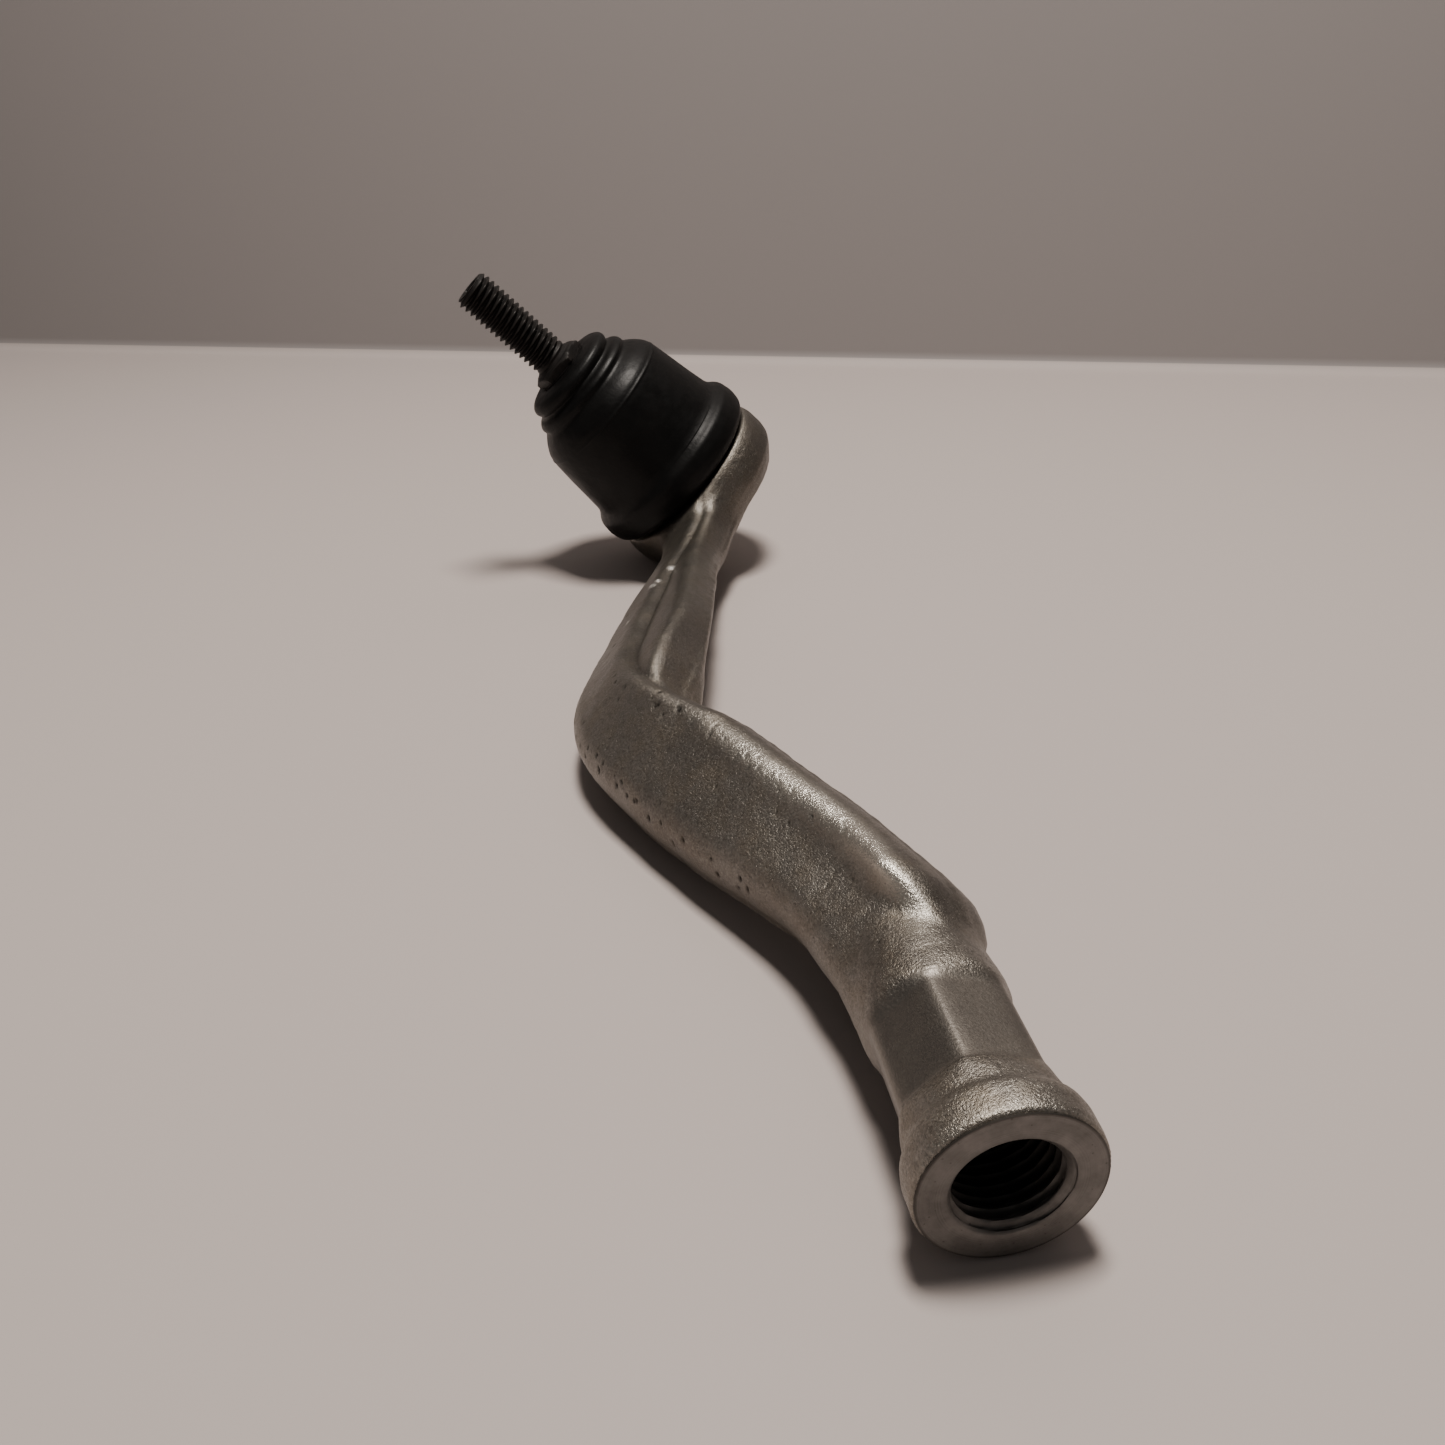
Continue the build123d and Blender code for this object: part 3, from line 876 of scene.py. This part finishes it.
def roughness_depth(points, marks):
    """How far each point of the forging moves out, from blasting, scale and pits, in mm."""
    still = (1 - marks["flat"]) * (points[:, 0] < MOUTH_X - 0.9)
    moved = np.empty(len(points))
    for index, point in enumerate(points):
        coarse = noise.noise(Vector(point * 0.11))
        grain = noise.noise(Vector(point * 0.62 + 7))
        moved[index] = 0.16 * coarse + 0.06 * grain
    return moved * still - 0.28 * marks["pit"] + 0.3 * marks["chip"]


# --- Mouth, stud, boot and end cap -----------------------------------------------
def mouth_liner(material):
    """The faced end and the tapped bore with its real M14 x 1.5 thread."""
    turns, steps_per_pitch, thread_depth = 120, 12, 34.0
    skin_r = ROD_MAJOR_R + 0.55
    chamfer_r = ROD_MAJOR_R + 0.06
    angle = np.linspace(0, 2 * math.pi, turns, endpoint=False)
    # Outer skin, face and chamfer, then the thread, then the drilled end: radius, depth
    before = [(skin_r, 38.5), (skin_r, 0.6), (10.3, 0.5)]
    before += [(FACE_R - 0.12, 0.3), (FACE_R, 0.12), (FACE_R - 0.1, 0.0)]
    before += [(9.4, 0.0), (8.3, 0.0), (ROD_MAJOR_R + 0.2, 0.0), (chamfer_r, 0.06)]
    after = [(ROD_MINOR_R, 34.8), (ROD_MINOR_R, 37.0), (0.0, 38.3), (0.0, 38.5)]
    radii = [np.full(turns, radius) for radius, _ in before]
    depths = [depth for _, depth in before]
    for depth in np.linspace(0.15, thread_depth, int(thread_depth / ROD_PITCH * steps_per_pitch)):
        chamfer = chamfer_r - depth * 0.9
        thread = helix(angle, -depth, ROD_PITCH, ROD_MAJOR_R, internal=True)
        radii.append(np.maximum(thread, chamfer))
        depths.append(depth)
    radii += [np.full(turns, radius) for radius, _ in after]
    depths += [depth for _, depth in after]
    points, faces = lathe(radii, MOUTH_X - np.array(depths), closed=True)
    piece = piece_from("mouth_thread", about_thread_axis(points), faces, material, 30)
    x, y, z = design_points(piece).T
    inner = np.hypot(y, z - THREAD_Z) < ROD_MAJOR_R + 0.1
    # Marks the painted shade that deepens down the bore.
    add_mark(piece, "deep", np.clip((MOUTH_X - x - 0.2) / 3.5, 0, 1) * 0.9 * inner)
    return piece


HEXAGON_ACROSS = 13.0
HEXAGON_Z = STUD_SEAT_Z - 2.5
HEXAGON_CHAMFERS = [
    # Height above the hexagon's foot, how much its corners are cut back
    (0.0, 0.5),
    (0.25, 0.0),
    (1.0, 0.0),
    (1.35, 0.0),
    (1.6, 0.35),
    (2.0, 0.9),
    (2.35, 1.4),
    (2.5, 1.75),
]
RECESS_ACROSS = 5.0


def ball_stud(material):
    """Ball, neck, boot seat, chamfered hexagon and rolled M10 x 1.5 thread with a hex recess."""
    turns = 96
    angle = np.linspace(0, 2 * math.pi, turns, endpoint=False)
    ball_r, neck_r, seat_r = 10.85, 6.4, 7.0
    rings = []
    for polar in np.linspace(math.pi, math.asin(neck_r / ball_r) + 0.02, 40):
        rings.append((ball_r * math.sin(polar), ball_r * math.cos(polar)))
    neck = [(neck_r + 0.04, 8.85), (neck_r, 9.6), (neck_r, 30.3), (seat_r, 31.0)]
    rings += list(rounded_profile(neck + [(seat_r, HEXAGON_Z)], 0.6))
    corner_r = HEXAGON_ACROSS / 2 / math.cos(math.pi / 6)
    hexagon = hexagon_radius(angle, HEXAGON_ACROSS)
    for height, cut in HEXAGON_CHAMFERS:
        rings.append((np.minimum(hexagon, corner_r - cut), HEXAGON_Z + height))
    rings += thread_rings(angle)
    tip_r = STUD_MAJOR_R - STUD_TIP_CHAMFER
    recess = hexagon_radius(angle, RECESS_ACROSS)
    rings += [(tip_r, STUD_TIP_Z), (3.3, STUD_TIP_Z), (3.05, STUD_TIP_Z)]
    rings += [(recess, STUD_TIP_Z - depth) for depth in (0.35, 1.5, 3.0, 4.6)]
    rings += [(recess * 0.96, STUD_TIP_Z - 4.8), (0.0, STUD_TIP_Z - 5.5)]
    radii = [np.broadcast_to(np.asarray(radius, float), (turns,)) for radius, _ in rings]
    points, faces = lathe(radii, [height for _, height in rings])
    piece = piece_from("tapered_stud", points, faces, material, 28)
    add_mark(piece, "crest", stud_crests(design_points(piece)))
    return piece


def thread_rings(angle):
    """The stud's thread as (radius, height) rings, with its run-out and its tip chamfer."""
    blank_r, run_out = STUD_MAJOR_R - 0.28, 2.2
    start, end = STUD_SEAT_Z + 0.6, STUD_TIP_Z - 0.12
    rings = [(STUD_MAJOR_R + 0.55, STUD_SEAT_Z + 0.02), (STUD_MAJOR_R + 0.12, STUD_SEAT_Z + 0.35)]
    for height in np.arange(start, end, STUD_PITCH / 12):
        share = np.clip((height - start) / run_out, 0, 1)
        thread = helix(angle, height, STUD_PITCH, STUD_MAJOR_R)
        radius = thread * share + blank_r * (1 - share)
        chamfer = STUD_MAJOR_R - STUD_TIP_CHAMFER + STUD_TIP_Z - height
        rings.append((np.minimum(radius, chamfer), height))
    return rings


def stud_crests(points):
    """Where the thread's crests and the hexagon's corners are rubbed, from 0 to 1."""
    radius = np.hypot(points[:, 0], points[:, 1])
    on_thread = points[:, 2] > STUD_SEAT_Z + 0.5
    on_hexagon = (points[:, 2] > HEXAGON_Z) & ~on_thread
    crest = np.where(on_thread, np.clip((radius - STUD_MAJOR_R + 0.3) / 0.3, 0, 1), 0)
    return np.where(on_hexagon, np.clip((radius - 6.3) / 1.2, 0, 1), crest)


def dust_boot(material):
    """The rubber boot: rolled bead, tapering skirt with faint steps, rounded crown, nose rings."""
    angle = np.linspace(0, 2 * math.pi, 160, endpoint=False)
    neck, nose = CUP_NECK_R + 0.3, BOOT_NOSE_R
    outer = rounded_profile(
        [
            (neck, -0.45),
            (22.2, -0.45),
            (23.9, 1.2),
            (24.3, 3.9),
            (23.8, 7.0),
            (22.2, 8.6),
            (21.5, 10.2),
            (20.9, 15.0),
            (20.25, 21.0),
            (19.5, 26.6),
            (18.9, 28.8),
            (17.2, 31.0),
            (15.4, 32.6),
            (15.0, 33.2),
            (15.1, 34.4),
            (14.3, 35.4),
            (13.1, 35.9),
            (12.5, 36.5),
            (12.75, 37.1),
            (13.0, 37.9),
            (12.7, 38.9),
            (11.6, 39.8),
            (9.2, 40.5),
            (7.9, 40.55),
            (nose, 40.1),
        ],
        0.9,
        0.4,
    )
    inner = rounded_profile(
        [
            (nose, 40.1),
            (nose, 32.9),
            (8.6, 32.3),
            (13.0, 30.3),
            (16.0, 27.4),
            (17.2, 24.0),
            (19.0, 11.5),
            (19.2, 8.2),
            (neck, 7.9),
            (neck, -0.45),
        ],
        0.6,
        0.8,
    )
    rings = [(radius + moulded_unevenness(angle, height), height) for radius, height in outer]
    rings += [(np.full(len(angle), radius), height) for radius, height in inner[1:-1]]
    radii, heights = zip(*rings)
    points, faces = lathe(radii, heights, closed=True)
    return piece_from("rubber_boot", points, faces, material, 50)


def moulded_unevenness(angle, height):
    """How far the boot's outside stands off its profile, with the mould's parting line."""
    wobble = 0.10 * np.sin(2 * angle + height * 0.09) + 0.06 * np.sin(5 * angle - height * 0.2)
    on_skirt = 1.0 if 9 < height < 34 else 0.15
    return wobble * on_skirt + 0.16 * bell(height - 27.3, 0.28)


def cap_plate(material):
    """The pressed end cap, dished in the middle with a raised ring."""
    low = CUP_BOTTOM_Z + 0.8
    rows = rounded_profile(
        [
            (0.0, low + 0.55),
            (3.0, low + 0.55),
            (3.8, low + 0.2),
            (5.2, low + 0.2),
            (6.0, low + 0.6),
            (9.2, low + 0.6),
            (10.6, low + 0.05),
            (CAP_R - 0.3, low + 0.02),
            (CAP_R, low + 0.4),
            (CAP_R, low + 1.9),
            (0.0, low + 1.9),
        ],
        0.5,
    )
    radii = [np.full(96, r) for r, _ in rows]
    points, faces = lathe(radii, [z for _, z in rows])
    return piece_from("cap_plate", points, faces, material, 30)


# --- Stage, lights and camera -----------------------------------------------------
def stage_material(name, colour):
    """Matt card."""
    made = bpy.data.materials.new(name)
    made.use_nodes = True
    surface = made.node_tree.nodes["Principled BSDF"]
    surface.inputs["Base Color"].default_value = colour
    surface.inputs["Roughness"].default_value = 0.6
    surface.inputs["Specular IOR Level"].default_value = 0.3
    return made


def floor_and_backdrop():
    """A level floor with a low wall standing behind the part, in metres."""
    width, near, wall, bend, top = 6.0, -3.0, 0.368, 0.006, 0.9
    turned_deg, bend_steps = -23, 6
    profile = [(near, 0.0), (wall - bend, 0.0)]
    for step in range(1, bend_steps + 1):
        turn = math.pi / 2 * step / bend_steps
        profile.append((wall - bend + bend * math.sin(turn), bend * (1 - math.cos(turn))))
    profile.append((wall, top))
    points = [(side * width / 2, y, z) for y, z in profile for side in (-1, 1)]
    faces = [(2 * i, 2 * i + 1, 2 * i + 3, 2 * i + 2) for i in range(len(profile) - 1)]
    mesh = bpy.data.meshes.new("floor")
    mesh.from_pydata(points, [], faces)
    mesh.shade_smooth()
    mesh.set_sharp_from_angle(angle=math.radians(40))
    mesh.materials.append(stage_material("pale_floor", (0.44, 0.388, 0.368, 1)))
    mesh.materials.append(stage_material("pale_wall", (0.272, 0.25, 0.245, 1)))
    for face in mesh.polygons:
        face.material_index = int(face.normal.z < 0.5)
    floor = bpy.data.objects.new("floor", mesh)
    bpy.context.scene.collection.objects.link(floor)
    floor.rotation_euler.z = math.radians(turned_deg)


def area_light(name, place, aim, size, power, colour):
    """A rectangular lamp, placed and aimed in metres, with its power in watts."""
    lamp = bpy.data.lights.new(name, "AREA")
    lamp.shape = "RECTANGLE"
    lamp.size, lamp.size_y = size
    lamp.energy = power
    lamp.color = colour
    holder = bpy.data.objects.new(name, lamp)
    holder.location = place
    holder.rotation_euler = (Vector(aim) - Vector(place)).to_track_quat("-Z", "Y").to_euler()
    bpy.context.scene.collection.objects.link(holder)


def lights():
    """One soft lamp high above the part, and a dim warm surround."""
    world = bpy.data.worlds.new("studio")
    world.use_nodes = True
    surround = world.node_tree.nodes["Background"]
    surround.inputs["Color"].default_value = (1.0, 0.95, 0.92, 1)
    surround.inputs["Strength"].default_value = 0.12
    bpy.context.scene.world = world
    warm = (1.0, 0.93, 0.86)
    area_light("overhead", (0.03, 0.02, 0.95), (0.0, 0.0, 0.0), (0.2, 0.2), 13.0, warm)


def camera():
    """Stands in front of the mouth, a little above, as a person holding a phone would."""
    # Place, aim and upright are in the design frame; the lens is for a 36 mm wide sensor
    place, aim = (315.72, 45.31, 96.98), (99.67, -18.65, -11.33)
    upright = (-0.47763, 0.68786, 0.54655)
    data = bpy.data.cameras.new("camera")
    data.lens = 30.77
    data.sensor_width = 36.0
    data.clip_start = 0.01
    made = bpy.data.objects.new("camera", data)
    back = (to_row(place) - to_row(aim)).normalized()
    up = TO_ROW.to_3x3() @ Vector(upright)
    right = up.cross(back).normalized()
    up = back.cross(right)
    turn = Matrix((right, up, back)).transposed().to_4x4()
    made.matrix_world = Matrix.Translation(to_row(place)) @ turn
    bpy.context.scene.collection.objects.link(made)
    bpy.context.scene.camera = made


def keep_design_place(node):
    """Gives a CAD node the design-frame attribute that the materials read."""
    mesh = frame["nodes"][node].data
    points = np.empty(len(mesh.vertices) * 3, np.float32)
    mesh.vertices.foreach_get("co", points)
    back = TO_ROW.inverted()
    points = points.reshape(-1, 3) @ np.array(back.to_3x3()).T + np.array(back.translation)
    place = mesh.attributes.new("design_mm", "FLOAT_VECTOR", "POINT")
    place.data.foreach_set("vector", points.astype(np.float32).ravel())


def carry_over(node, material):
    """Shows a CAD node as it is, in this material."""
    keep_design_place(node)
    mesh = frame["nodes"][node].data
    mesh.materials.clear()
    mesh.materials.append(material)


skin = forged_body(forging_material())
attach(skin, "housing")
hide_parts("forged_body")

liner = mouth_liner(machined_material())
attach(liner, "housing")

cap = cap_plate(plated_material("plated_cap", (0.5, 0.49, 0.46)))
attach(cap, "housing")
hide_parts("end_cap")

stud = ball_stud(phosphate_material())
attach(stud, "stud")
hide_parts("ball_stud")

boot = dust_boot(rubber_material())
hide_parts("dust_boot")
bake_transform(boot)

carry_over("bearing_shell", acetal_material())
carry_over("preload_spring", plated_material("spring_plate", (0.3, 0.3, 0.31)))
ring_steel = plated_material("ring_plate", (0.42, 0.42, 0.43))
carry_over("boot_base_ring", ring_steel)
carry_over("boot_nose_ring", ring_steel)

floor_and_backdrop()
lights()
camera()
